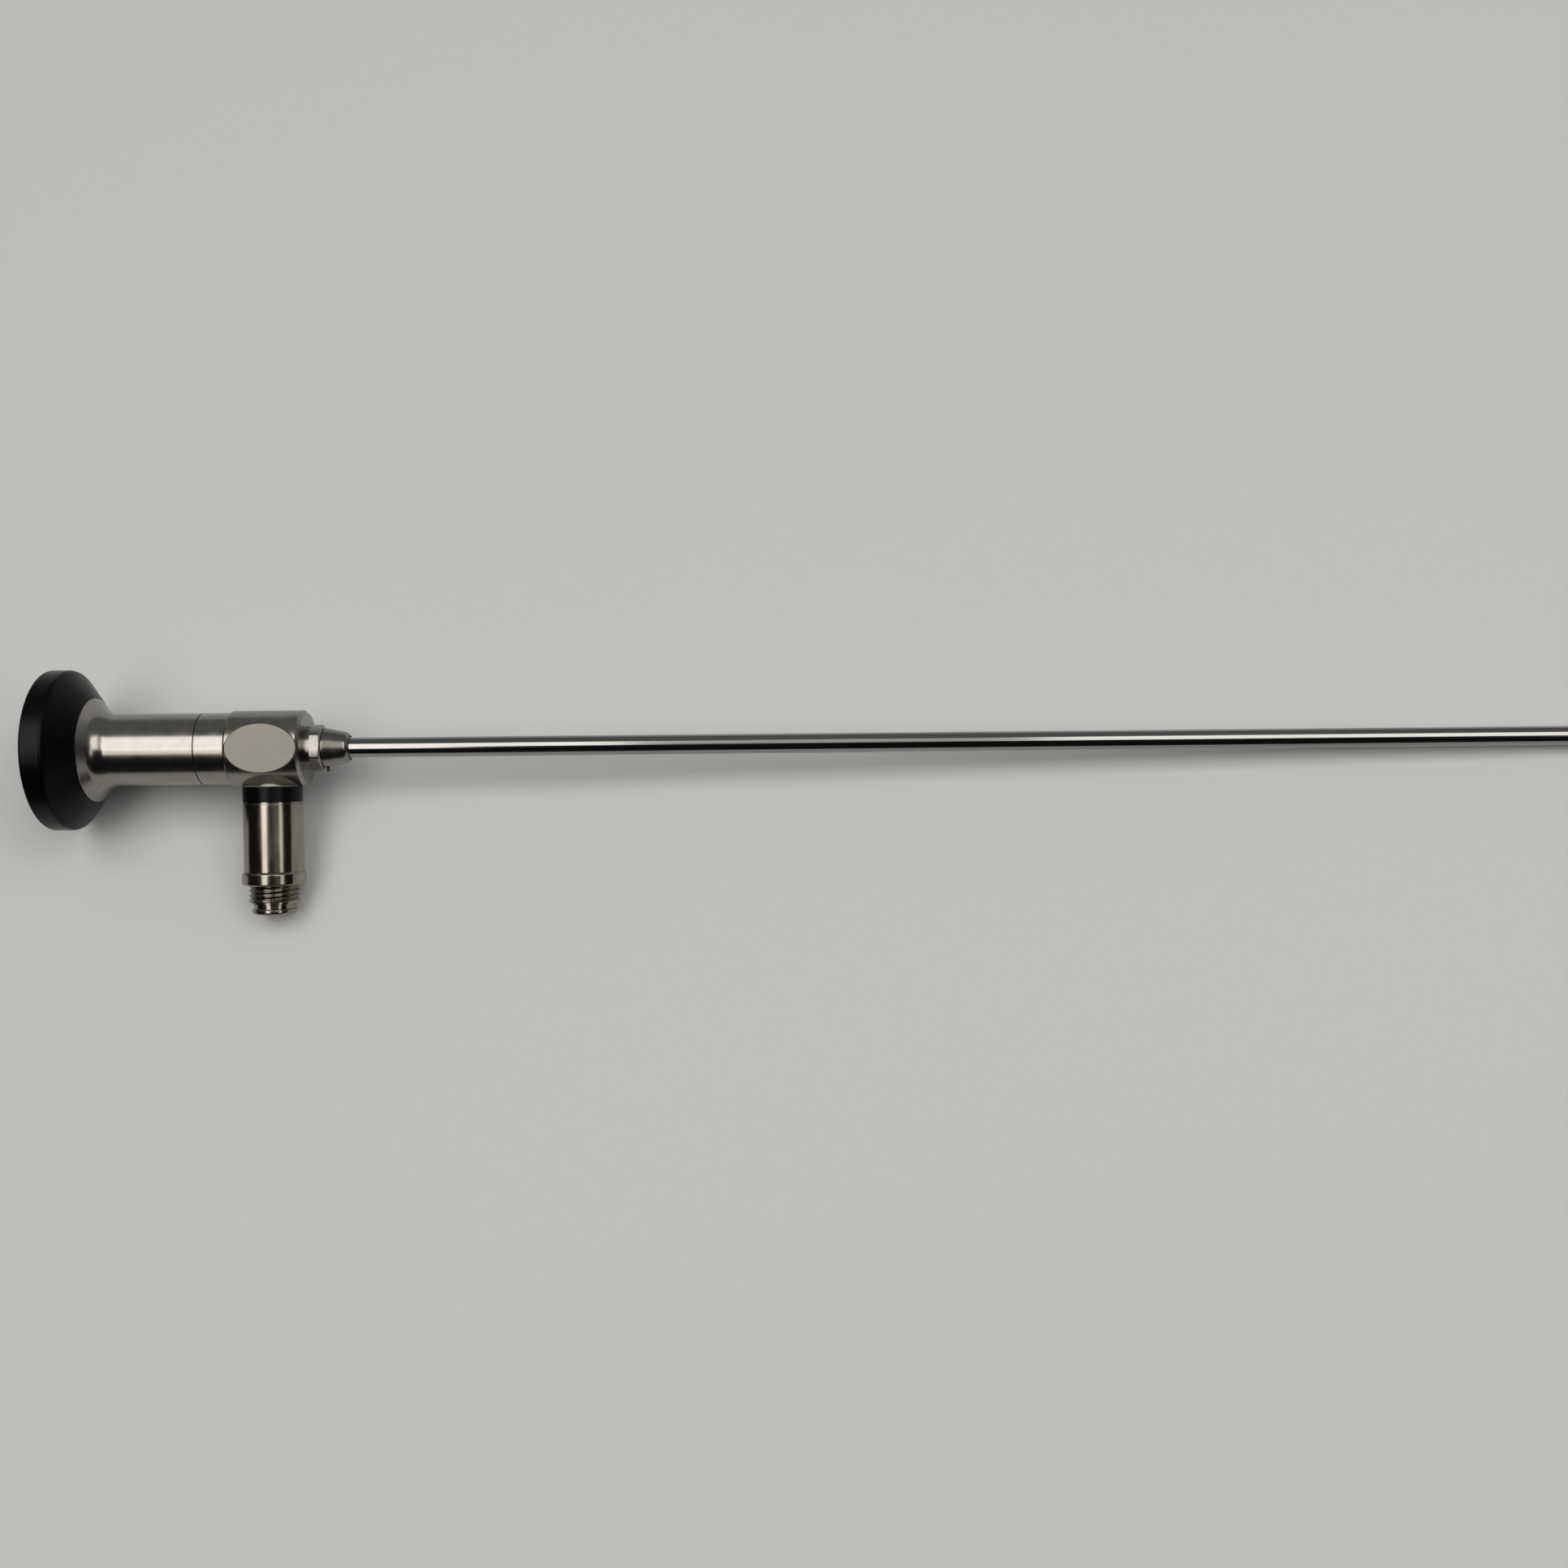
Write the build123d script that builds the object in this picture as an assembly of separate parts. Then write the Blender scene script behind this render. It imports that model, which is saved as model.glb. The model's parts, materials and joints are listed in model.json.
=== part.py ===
from build123d import *
import math
import os

# A rigid rod-lens telescope of 4 mm for use inside a sheath. Every piece is drawn with the optical
# axis along X, from the eyecup's front face at x = 0 to the tip, and the light post along -Y.
# The last section lays the whole instrument down on its side as it comes to rest.

# Overall sizes
RIM_R = 15.9
RIM_END = 4.0
RIM_EASE = 0.35
RIM_FACE_R = 14.6
CONE_TURN = 1.336
FLANGE_X = 8.14
FLANGE_R = RIM_R - CONE_TURN * (FLANGE_X - RIM_END)
TUBE_R = 7.19
HOUSING_FILLET = 3.0
EDGE_EASE = 0.12
HOUSING_END = 29.23
RING_END = 35.0
BLOCK_R = 7.6
BLOCK_END = 49.5
SHAFT_R = 2.0
TIP_X = 360.0
POST_X = 42.4

# Eyecup and ocular window
FUNNEL_X = 0.9
FUNNEL_R = 14.0
FUNNEL_EASE = 0.5
FUNNEL_BOTTOM_X = 5.6
FUNNEL_BOTTOM_R = 5.6
NECK_X = 6.2
NECK_R = 7.6
WINDOW_R = 4.6
WINDOW_THICK = 1.2
WINDOW_RING_THICK = 0.6
WINDOW_CLEAR_R = 3.9

# Ocular inside the housing
CELL_FRONT = 10.0
CELL_END = 22.8
CELL_R = 5.75
CELL_BORE_R = 4.6
CELL_LIP_R = 3.8
OCULAR_GLASS_R = CELL_BORE_R - 0.03
OCULAR_SPACER_R = 3.9
EYE_LENS_X = 11.0
EYE_LENS_THICK = 2.6
EYE_LENS_CURVE = 14.0
FLINT_THICK = 1.4
FIELD_LENS_X = 18.6
FIELD_LENS_THICK = 2.2
FIELD_LENS_CURVE = 18.0
RETAINER_R = 3.7
RETAINER_OVERLAP = 0.5
WRENCH_SLOT_DEEP = 0.5
WRENCH_SLOT_WIDE = 0.8
HOUSING_BORE_R = 5.8
SPIGOT_R = 6.2
SPIGOT_X = 23.0
RING_BORE_R = 4.8
RING_NOSE_R = 4.0
STOP_X = 25.0
STOP_THICK = 0.4
STOP_APERTURE_R = 2.3
NOTCH_DEEP = 0.3
NOTCH_WIDE = 0.5
SPRING_END = 26.2
SPRING_R = 4.1
SPRING_SPLIT = 1.6

# Light block and coupling
BLOCK_SEAT_R = 5.6
BLOCK_SEAT_END = 37.5
CAVITY_END = 46.0
BLOCK_EASE = 0.35
BLOCK_FRONT_EASE = 0.6
BADGE_X = 42.25
BADGE_LONG = 13.9
BADGE_WIDE = 9.75
BADGE_TOP = 7.65
BADGE_SEAT = 6.75
BADGE_GAP = 0.02
BADGE_EASE = 0.12
SHANK_R = 3.6
NECK_GROOVE_R = 4.4
HEX_X = 50.8
HEX_R = 5.0
HEX_TURN = -4.3
HEX_TURNED_R = HEX_R + 0.1
HEX_BACK_R = 4.75
HEX_BACK_EASE = 0.3
HEX_CHAMFER_X = 52.4
HEX_END = 52.85
HEX_END_R = 4.1
GROOVE_R = 3.75
GROOVE_END = 53.1
CONE_START_R = 4.0
CONE_SHOULDER_X = 57.3
CONE_SHOULDER_R = 3.12
CONE_END = 57.9
CONE_END_R = 2.6
CONE_RECESS_R = 2.45
CONE_RECESS = 0.8
PIN_X = 53.45
PIN_R = 0.25
PIN_ROOT = 3.0
PIN_REACH = 4.75

# Shaft and optics train
SHAFT_BACK = 47.2
SHAFT_BORE_R = 1.82
SHAFT_ROOT_R = 2.18
SHAFT_ROOT_END = 57.95
OPTICS_R = 1.5
OPTICS_BORE_R = 1.35
OPTICS_BACK = 27.5
OPTICS_FRONT = 359.4
CARRIER_BACK = 29.6
CARRIER_END = 36.9
CARRIER_FLANGE = 1.4
CARRIER_RIM = 1.0
CARRIER_WAIST_R = 3.4
CARRIER_SLOPE = 0.6
ROD_COUNT = 6
ROD_R = 1.32
ROD_START = 37.0
TRAIN_END = 350.0
SPACER_LENGTH = 6.4
SPACER_BORE_R = 1.15
SEAT_GAP = 0.01
ROD_CURVE = 20.0
OBJECTIVE_START = 352.2
OBJECTIVE_THICK = 3.2
OBJECTIVE_CURVE = 3.0
CELL_EYE_R = 1.1
CELL_STOP_R = 0.7
CELL_STOP_THICK = 0.5
CELL_STOP_SLOPE = 0.4
FRONT_LENS_THICK = 0.55
FRONT_LENS_CURVE = 2.4
FRONT_LENS_SEAT = 1.0
TIP_EASE = 0.1

# Light post, measured down from the optical axis
POST_R = 5.78
SEAT_DOWN = 7.5
SEAT_R = 5.9
INSULATOR_R = 5.74
INSULATOR_END = 10.7
CLAMP_END = 11.0
CLAMP_R = POST_R - 0.02
SLEEVE_END = 24.6
COLLAR_START = 25.0
COLLAR_R = 6.15
COLLAR_END = 27.2
COLLAR_EASE = 0.25
THREAD_R = 4.93
THREAD_END = 30.6
THREAD_SHOULDER_R = 4.41
SHOULDER_END = 31.0
SHOULDER_SLOPE = 0.1
POST_NECK_R = 3.97
LIP_START = 32.0
LIP_R = 4.25
LIP_END = 33.1
LIP_EASE = 0.35
LIP_SLOPE = 0.15
BASE_NECK_R = 2.6
BASE_R = 3.2
BASE_START = 4.7
BASE_END = 24.0
NIPPLE_SHANK_R = 4.6
NIPPLE_SHANK_START = 20.5
FERRULE_R = 2.2
FERRULE_START = 12.0
FERRULE_GAP = 0.02
BUNDLE_R = 1.1
BUNDLE_BEND = 2.8
FIBRE_LEAD = 0.5
GATHER_LENGTH = 1.8
GATHER_R = 0.15


# Shared shaping steps
def turned(*corners):
    """A solid turned about X from (x, radius) corners."""
    return revolve(make_face(Polyline(*corners, close=True)), Axis.X)


def turned_eased(corners, eased, rounded=()):
    """A turned solid. Corners listed as (x, radius, size) are bevelled in eased, rounded in rounded."""
    section = make_face(Polyline(*corners, close=True))
    for x, radius, size in eased:
        section = chamfer(section.vertices().sort_by_distance((x, radius))[0], size)
    for x, radius, size in rounded:
        section = fillet(section.vertices().sort_by_distance((x, radius))[0], size)
    return revolve(section, Axis.X)


def ring(start, end, outer, inner):
    return turned((start, inner), (end, inner), (end, outer), (start, outer))


def rod(start, end, radius):
    return turned((start, 0), (end, 0), (end, radius), (start, radius))


def down_post(piece):
    """Turns a piece drawn along X so that it runs down the light post."""
    return Pos(POST_X, 0, 0) * Rot(0, 0, -90) * piece


def sag(curve, radius):
    """How far a spherical face falls back at this radius. Hollow faces have a negative curve."""
    return math.copysign(abs(curve) - math.sqrt(curve**2 - radius**2), curve) if curve else 0


def lens_face(pole, curve, radius, side):
    rim = (pole + side * sag(curve, radius), radius)
    if not curve:
        return Line((pole, 0), rim)
    return ThreePointArc((pole, 0), (pole + side * sag(curve, radius / 2), radius / 2), rim)


def lens(start, thick, radius, curve_start, curve_end):
    """A round lens. A positive curve is the radius of a face that bulges outwards, zero is flat."""
    end = start + thick
    near = start + sag(curve_start, radius)
    far = end - sag(curve_end, radius)
    edges = [
        Line((near, radius), (far, radius)), Line((end, 0), (start, 0)),
        lens_face(start, curve_start, radius, 1), lens_face(end, curve_end, radius, -1),
    ]
    return revolve(make_face(edges), Axis.X)


# Eyepiece
def eyecup():
    """Black moulded cup: broad rim, outer cone, and a funnel that centres the eye."""
    corners = [
        (0, RIM_FACE_R), (0, RIM_R), (RIM_END, RIM_R), (FLANGE_X, FLANGE_R), (FLANGE_X, NECK_R),
        (NECK_X, NECK_R), (NECK_X, FUNNEL_BOTTOM_R), (FUNNEL_BOTTOM_X, FUNNEL_BOTTOM_R),
        (FUNNEL_X, FUNNEL_R),
    ]
    eased = [(0, RIM_R, RIM_EASE), (RIM_END, RIM_R, RIM_EASE), (FUNNEL_X, FUNNEL_R, FUNNEL_EASE)]
    return turned_eased(corners, eased)


def eyepiece_housing():
    """Steel housing: threaded neck, flared flange, concave blend and tube, bored for the ocular."""
    corner_x = FLANGE_X + (FLANGE_R - TUBE_R) / CONE_TURN
    corners = [
        (NECK_X, WINDOW_R), (NECK_X, NECK_R), (FLANGE_X, NECK_R), (FLANGE_X, FLANGE_R),
        (corner_x, TUBE_R), (HOUSING_END, TUBE_R), (HOUSING_END, SPIGOT_R), (SPIGOT_X, SPIGOT_R),
        (SPIGOT_X, HOUSING_BORE_R), (CELL_FRONT, HOUSING_BORE_R), (CELL_FRONT, WINDOW_CLEAR_R),
        (NECK_X + WINDOW_RING_THICK + WINDOW_THICK, WINDOW_CLEAR_R),
        (NECK_X + WINDOW_RING_THICK + WINDOW_THICK, WINDOW_R),
    ]
    eased = [(FLANGE_X, FLANGE_R, EDGE_EASE), (HOUSING_END, TUBE_R, EDGE_EASE)]
    return turned_eased(corners, eased, [(corner_x, TUBE_R, HOUSING_FILLET)])


def window_ring():
    return ring(NECK_X, NECK_X + WINDOW_RING_THICK, WINDOW_R, WINDOW_CLEAR_R)


def eyepiece_window():
    start = NECK_X + WINDOW_RING_THICK
    return rod(start, start + WINDOW_THICK, WINDOW_R)


# Ocular
def ocular_cell():
    """Barrel that slides into the housing and carries the ocular lenses on a front lip."""
    return turned(
        (CELL_FRONT, CELL_LIP_R), (CELL_FRONT, CELL_R), (CELL_END, CELL_R), (CELL_END, CELL_BORE_R),
        (EYE_LENS_X, CELL_BORE_R), (EYE_LENS_X, CELL_LIP_R),
    )


def eye_lens():
    return lens(EYE_LENS_X, EYE_LENS_THICK, OCULAR_GLASS_R, 0, EYE_LENS_CURVE)


def eye_lens_flint():
    """Hollow-ground glass cemented to the back of the eye lens."""
    return lens(EYE_LENS_X + EYE_LENS_THICK, FLINT_THICK, OCULAR_GLASS_R, -EYE_LENS_CURVE, 0)


def lens_spacer():
    start = EYE_LENS_X + EYE_LENS_THICK + FLINT_THICK
    return ring(start, FIELD_LENS_X, OCULAR_GLASS_R, OCULAR_SPACER_R)


def field_lens():
    return lens(FIELD_LENS_X, FIELD_LENS_THICK, OCULAR_GLASS_R, 0, FIELD_LENS_CURVE)


def lens_retainer():
    """Threaded ring that holds the field lens by its edge, with two wrench slots."""
    pole = FIELD_LENS_X + FIELD_LENS_THICK
    plain = turned(
        (pole, RETAINER_R), (CELL_END, RETAINER_R), (CELL_END, OCULAR_GLASS_R),
        (pole - RETAINER_OVERLAP, OCULAR_GLASS_R),
    )
    slots = Pos(CELL_END, 0, 0) * Box(2 * WRENCH_SLOT_DEEP, 2 * CELL_R, WRENCH_SLOT_WIDE)
    return plain - slots


def field_stop():
    """Thin disc with the round aperture and a notch that marks the top of the picture."""
    disc = ring(STOP_X, STOP_X + STOP_THICK, RING_BORE_R, STOP_APERTURE_R)
    notch = Pos(STOP_X, STOP_APERTURE_R, 0) * Box(4 * STOP_THICK, 2 * NOTCH_DEEP, NOTCH_WIDE)
    return disc - notch


def stop_spring():
    """Split ring that clamps the field stop against the bore's shoulder."""
    clip = ring(STOP_X + STOP_THICK, SPRING_END, RING_BORE_R, SPRING_R)
    split = Pos(SPRING_END, RING_BORE_R, 0) * Box(2 * (SPRING_END - STOP_X), RING_BORE_R, SPRING_SPLIT)
    return clip - split


# Body
def body_ring():
    """Ring between housing and block: a spigot screwed into each, bored for stop and carrier."""
    corners = [
        (SPIGOT_X, RING_NOSE_R), (SPIGOT_X, SPIGOT_R), (HOUSING_END, SPIGOT_R), (HOUSING_END, TUBE_R),
        (RING_END, TUBE_R), (RING_END, BLOCK_SEAT_R), (BLOCK_SEAT_END, BLOCK_SEAT_R),
        (BLOCK_SEAT_END, RING_BORE_R), (STOP_X, RING_BORE_R), (STOP_X, RING_NOSE_R),
    ]
    return turned_eased(corners, [(HOUSING_END, TUBE_R, EDGE_EASE), (RING_END, TUBE_R, EDGE_EASE)])


def tube_carrier():
    """Bush that centres the back end of the optics tube in the body."""
    flange_end = CARRIER_BACK + CARRIER_FLANGE
    rim_start = CARRIER_END - CARRIER_RIM
    return turned(
        (CARRIER_BACK, OPTICS_R), (CARRIER_BACK, RING_BORE_R), (flange_end, RING_BORE_R),
        (flange_end + CARRIER_SLOPE, CARRIER_WAIST_R), (rim_start - CARRIER_SLOPE, CARRIER_WAIST_R),
        (rim_start, RING_BORE_R), (CARRIER_END, RING_BORE_R), (CARRIER_END, OPTICS_R),
    )


def badge_outline(grow=0):
    return Pos(BADGE_X, 0, 0) * Ellipse(BADGE_LONG / 2 + grow, BADGE_WIDE / 2 + grow)


def light_block():
    """Turned block with a flat seat and a bore for the light post, an oval seat and a fibre chamber."""
    body = turned(
        (RING_END, BLOCK_SEAT_R), (RING_END, BLOCK_R - BLOCK_EASE), (RING_END + BLOCK_EASE, BLOCK_R),
        (BLOCK_END - BLOCK_FRONT_EASE, BLOCK_R), (BLOCK_END, BLOCK_R - BLOCK_FRONT_EASE),
        (BLOCK_END, SHANK_R), (CAVITY_END, SHANK_R), (CAVITY_END, BLOCK_SEAT_R),
    )
    badge_seat = Pos(0, 0, BADGE_SEAT) * extrude(badge_outline(BADGE_GAP), BLOCK_R)
    post_seat = down_post(rod(SEAT_DOWN, BLOCK_R + 1, SEAT_R))
    post_bore = down_post(rod(0, BLOCK_R, BASE_NECK_R))
    return body - badge_seat - post_seat - post_bore


def oval_badge():
    """Blank oval plate let into the block, its flat top standing just over the curve."""
    plate = Pos(0, 0, BADGE_SEAT) * extrude(badge_outline(), BADGE_TOP - BADGE_SEAT)
    return chamfer(plate.edges().group_by(Axis.Z)[-1], BADGE_EASE)


def coupling_cone():
    """Front fitting of one turned piece: screwed shank, groove, hexagon and cone for the sheath."""
    outline = Rot(0, 0, HEX_TURN) * RegularPolygon(HEX_R, 6)
    grip = Plane.YZ.offset(HEX_X) * extrude(outline, HEX_END - HEX_X)
    grip &= turned(
        (HEX_X, 0), (HEX_X, HEX_BACK_R), (HEX_X + HEX_BACK_EASE, HEX_TURNED_R),
        (HEX_CHAMFER_X, HEX_TURNED_R), (HEX_END, HEX_END_R), (HEX_END, 0),
    )
    shank = rod(SHAFT_BACK, BLOCK_END, SHANK_R) + rod(BLOCK_END, HEX_X, NECK_GROOVE_R)
    cone = turned(
        (HEX_END, 0), (HEX_END, GROOVE_R), (GROOVE_END, GROOVE_R), (GROOVE_END, CONE_START_R),
        (CONE_SHOULDER_X, CONE_SHOULDER_R), (CONE_END, CONE_END_R), (CONE_END, 0),
    )
    recess = rod(CONE_END - CONE_RECESS, CONE_END, CONE_RECESS_R)
    bore = rod(SHAFT_BACK, CONE_END, SHAFT_ROOT_R)
    pin_hole = Pos(PIN_X, 0, 0) * Rot(0, 0, -90) * rod(PIN_ROOT, PIN_REACH, PIN_R)
    return shank + grip + cone - recess - bore - pin_hole


def index_pin():
    """Small pressed-in pin beside the hexagon, which sets how the telescope turns in its sheath."""
    return Pos(PIN_X, 0, 0) * Rot(0, 0, -90) * rod(PIN_ROOT, PIN_REACH, PIN_R)


# Shaft
def shaft_tube():
    """Outer tube, drawn and polished, its thicker root soldered into the coupling cone."""
    corners = [
        (SHAFT_BACK, SHAFT_BORE_R), (SHAFT_BACK, SHAFT_ROOT_R), (SHAFT_ROOT_END, SHAFT_ROOT_R),
        (SHAFT_ROOT_END, SHAFT_R), (TIP_X, SHAFT_R), (TIP_X, SHAFT_BORE_R),
    ]
    return turned_eased(corners, [(TIP_X, SHAFT_R, TIP_EASE)])


def optics_tube():
    """Inner tube that holds the whole lens train."""
    return ring(OPTICS_BACK, OPTICS_FRONT, OPTICS_R, OPTICS_BORE_R)


def light_fibres():
    """Glass fibres: a ring round the optics tube, gathered in the block and turned down the post."""
    fibre_ring = ring(SHAFT_BACK - FIBRE_LEAD, TIP_X, SHAFT_BORE_R, OPTICS_R)
    drop = OPTICS_R + BUNDLE_R
    start = SHAFT_BACK - GATHER_LENGTH
    bend_x = POST_X + BUNDLE_BEND
    gather = loft([
        Plane((SHAFT_BACK, -(SHAFT_BORE_R + OPTICS_R) / 2, 0), z_dir=(-1, 0, 0)) * Circle(GATHER_R),
        Plane((start, -drop, 0), z_dir=(-1, 0, 0)) * Circle(BUNDLE_R),
    ])
    route = Line((start, -drop), (bend_x, -drop))
    route += RadiusArc((bend_x, -drop), (POST_X, -drop - BUNDLE_BEND), -BUNDLE_BEND)
    route += Line((POST_X, -drop - BUNDLE_BEND), (POST_X, -LIP_END))
    bundle = sweep(Plane((start, -drop, 0), z_dir=(-1, 0, 0)) * Circle(BUNDLE_R), path=route)
    return fibre_ring + (gather - rod(start, SHAFT_BACK, OPTICS_R)) + bundle


def rod_pitch():
    return (TRAIN_END - ROD_START + SPACER_LENGTH) / ROD_COUNT


def rod_lens(index):
    """Long glass rod with two curved ends, the telescope's relay lens."""
    start = ROD_START + index * rod_pitch()
    return lens(start, rod_pitch() - SPACER_LENGTH, ROD_R, ROD_CURVE, ROD_CURVE)


def rod_spacer(index):
    """Thin tube that keeps two rods apart, resting on their edges."""
    seat = sag(ROD_CURVE, SPACER_BORE_R)
    end = ROD_START + (index + 1) * rod_pitch()
    return ring(end - SPACER_LENGTH - seat + SEAT_GAP, end + seat - SEAT_GAP, ROD_R, SPACER_BORE_R)


def objective_spacer():
    return ring(TRAIN_END - sag(ROD_CURVE, SPACER_BORE_R) + SEAT_GAP, OBJECTIVE_START, ROD_R, SPACER_BORE_R)


def objective_lens():
    return lens(OBJECTIVE_START, OBJECTIVE_THICK, ROD_R, 0, OBJECTIVE_CURVE)


def objective_cell():
    """Stepped tube that seats the objective lens and the front lens at the tip."""
    start = OBJECTIVE_START + OBJECTIVE_THICK - sag(OBJECTIVE_CURVE, CELL_EYE_R) + SEAT_GAP
    seat = OPTICS_FRONT - FRONT_LENS_SEAT
    return turned(
        (start, CELL_EYE_R), (start, ROD_R), (seat, ROD_R), (seat, CELL_STOP_R),
        (seat - CELL_STOP_THICK, CELL_STOP_R), (seat - CELL_STOP_THICK - CELL_STOP_SLOPE, CELL_EYE_R),
    )


def front_lens():
    """Small hollow lens behind the window, which takes in the wide picture."""
    return lens(OPTICS_FRONT - FRONT_LENS_THICK, FRONT_LENS_THICK, ROD_R, -FRONT_LENS_CURVE, 0)


def tip_window():
    """Sapphire disc brazed flush into the tip."""
    return rod(OPTICS_FRONT, TIP_X, OPTICS_R)


# Light post
def post_base():
    """Tube soldered into the block by its neck: it carries the insulator, the sleeve and the ferrule."""
    return down_post(turned(
        (BASE_START, FERRULE_R), (BASE_START, BASE_NECK_R), (SEAT_DOWN, BASE_NECK_R),
        (SEAT_DOWN, BASE_R), (BASE_END, BASE_R), (BASE_END, FERRULE_R),
    ))


def insulating_ring():
    return down_post(ring(SEAT_DOWN, INSULATOR_END, INSULATOR_R, BASE_R))


def clamp_ring():
    return down_post(ring(INSULATOR_END, CLAMP_END, CLAMP_R, BASE_R))


def post_sleeve():
    """Plated sleeve over the base, threaded inside at its end for the nipple."""
    corners = [
        (CLAMP_END, BASE_R), (CLAMP_END, POST_R), (SLEEVE_END, POST_R),
        (SLEEVE_END, NIPPLE_SHANK_R), (NIPPLE_SHANK_START, NIPPLE_SHANK_R), (NIPPLE_SHANK_START, BASE_R),
    ]
    return down_post(turned_eased(corners, [(CLAMP_END, POST_R, EDGE_EASE)]))


def post_nipple():
    """Screwed-in end for the light cable: bevelled collar, coarse thread, neck and rounded lip."""
    corners = [
        (NIPPLE_SHANK_START, BASE_R), (NIPPLE_SHANK_START, NIPPLE_SHANK_R), (SLEEVE_END, NIPPLE_SHANK_R),
        (SLEEVE_END, POST_R), (COLLAR_START, COLLAR_R), (COLLAR_END, COLLAR_R),
        (COLLAR_END, THREAD_R), (THREAD_END, THREAD_R), (THREAD_END, THREAD_SHOULDER_R),
        (SHOULDER_END, THREAD_SHOULDER_R), (SHOULDER_END + SHOULDER_SLOPE, POST_NECK_R),
        (LIP_START, POST_NECK_R), (LIP_START + LIP_SLOPE, LIP_R), (LIP_END, LIP_R),
        (LIP_END, FERRULE_R), (BASE_END, FERRULE_R), (BASE_END, BASE_R),
    ]
    eased = [(COLLAR_END, COLLAR_R, COLLAR_EASE), (LIP_END, LIP_R, LIP_EASE)]
    return down_post(turned_eased(corners, eased))


def light_ferrule():
    """Tube that grips the fibre ends, ground flush with them at the end of the post."""
    return down_post(ring(FERRULE_START, LIP_END, FERRULE_R, BUNDLE_R + FERRULE_GAP))


# All pieces, drawn along the optical axis
pieces = {
    make.__name__: make()
    for make in (
        eyecup, eyepiece_housing, window_ring, eyepiece_window, ocular_cell, eye_lens, eye_lens_flint,
        lens_spacer, field_lens, lens_retainer, field_stop, stop_spring, body_ring, tube_carrier,
        light_block, oval_badge, coupling_cone, index_pin, shaft_tube, optics_tube, light_fibres,
        objective_spacer, objective_lens, objective_cell, front_lens, tip_window,
        post_base, insulating_ring, clamp_ring, post_sleeve, post_nipple, light_ferrule,
    )
}
for number in range(ROD_COUNT):
    pieces[f"rod_lens_{number + 1}"] = rod_lens(number)
for number in range(ROD_COUNT - 1):
    pieces[f"rod_spacer_{number + 1}"] = rod_spacer(number)

# Rest on a table: the rim's back edge, the tip and the end of the post touch it. The pitch puts rim
# and tip level, and the roll is the first at which an edge of the post comes down to that level.
rim_x = RIM_END - RIM_EASE
pitch = math.atan((RIM_R - SHAFT_R) / (TIP_X - TIP_EASE - rim_x))
post_height = RIM_R - (POST_X - rim_x) * math.tan(pitch)


def roll_to_touch(down, radius):
    """Roll at which an edge of the post, so far down it and of this radius, touches the table."""
    return math.asin(post_height / math.hypot(down, radius)) - math.atan2(radius, down)


roll = min(
    roll_to_touch(LIP_END - LIP_EASE, LIP_R), roll_to_touch(LIP_END, LIP_R - LIP_EASE),
    roll_to_touch(COLLAR_END - COLLAR_EASE, COLLAR_R), roll_to_touch(COLLAR_END, COLLAR_R - COLLAR_EASE),
)
laid_down = Rot(0, math.degrees(pitch), 0) * Rot(math.degrees(roll), 0, 0)
box = Compound([laid_down * piece for piece in pieces.values()]).bounding_box()
rest = Pos(-box.center().X, -box.center().Y, -box.min.Z) * laid_down

os.makedirs("parts", exist_ok=True)
for name, piece in pieces.items():
    export_step(rest * piece, f"parts/{name}.step")
print("pitch and roll in degrees", round(math.degrees(pitch), 4), round(math.degrees(roll), 4))
for spot in ((0, 0, 0), (TIP_X, 0, 0), (POST_X, 0, 0), (POST_X, -LIP_END, 0)):
    print("axis point", spot, "lies at", (rest * Pos(*spot)).position)
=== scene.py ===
import json
import math

import bmesh
import bpy
from mathutils import Matrix, Vector


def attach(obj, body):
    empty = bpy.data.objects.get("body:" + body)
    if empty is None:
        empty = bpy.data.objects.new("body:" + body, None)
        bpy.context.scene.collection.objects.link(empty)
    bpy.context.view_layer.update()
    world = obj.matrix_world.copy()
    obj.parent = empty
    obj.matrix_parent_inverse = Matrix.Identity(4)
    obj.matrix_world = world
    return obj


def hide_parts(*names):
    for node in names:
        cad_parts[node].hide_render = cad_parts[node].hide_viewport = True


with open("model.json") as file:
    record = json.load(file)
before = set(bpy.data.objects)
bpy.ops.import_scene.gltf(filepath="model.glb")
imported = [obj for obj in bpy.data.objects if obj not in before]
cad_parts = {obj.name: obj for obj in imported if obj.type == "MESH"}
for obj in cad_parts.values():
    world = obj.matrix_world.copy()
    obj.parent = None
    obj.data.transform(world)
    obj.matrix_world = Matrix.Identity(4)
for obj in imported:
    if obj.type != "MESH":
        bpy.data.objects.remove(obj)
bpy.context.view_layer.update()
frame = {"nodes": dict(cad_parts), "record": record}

# How the telescope lies: on its side, on the eyecup's rim, the end of the light post and the tip.
# Pieces are shaped in millimetres along the optical axis, x from the eyecup's face to the tip,
# with the light post along -y, and laid down as a whole when they are finished.
MM = 0.001
RIM_MIDDLE = 2.1
mounts = {mount["name"]: mount for mount in frame["record"]["mounts"]}
along = Vector(mounts["working_shaft"]["axis"]).normalized()
outward = along.cross(-Vector(mounts["light_nipple"]["axis"])).normalized()
upward = outward.cross(along)
face_centre = Vector(mounts["eyepiece_rim"]["pos_m"]) - RIM_MIDDLE * MM * along
turn_down = Matrix((along, upward, outward)).transposed()
laid = Matrix.Translation(face_centre) @ turn_down.to_4x4() @ Matrix.Scale(MM, 4)


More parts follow.
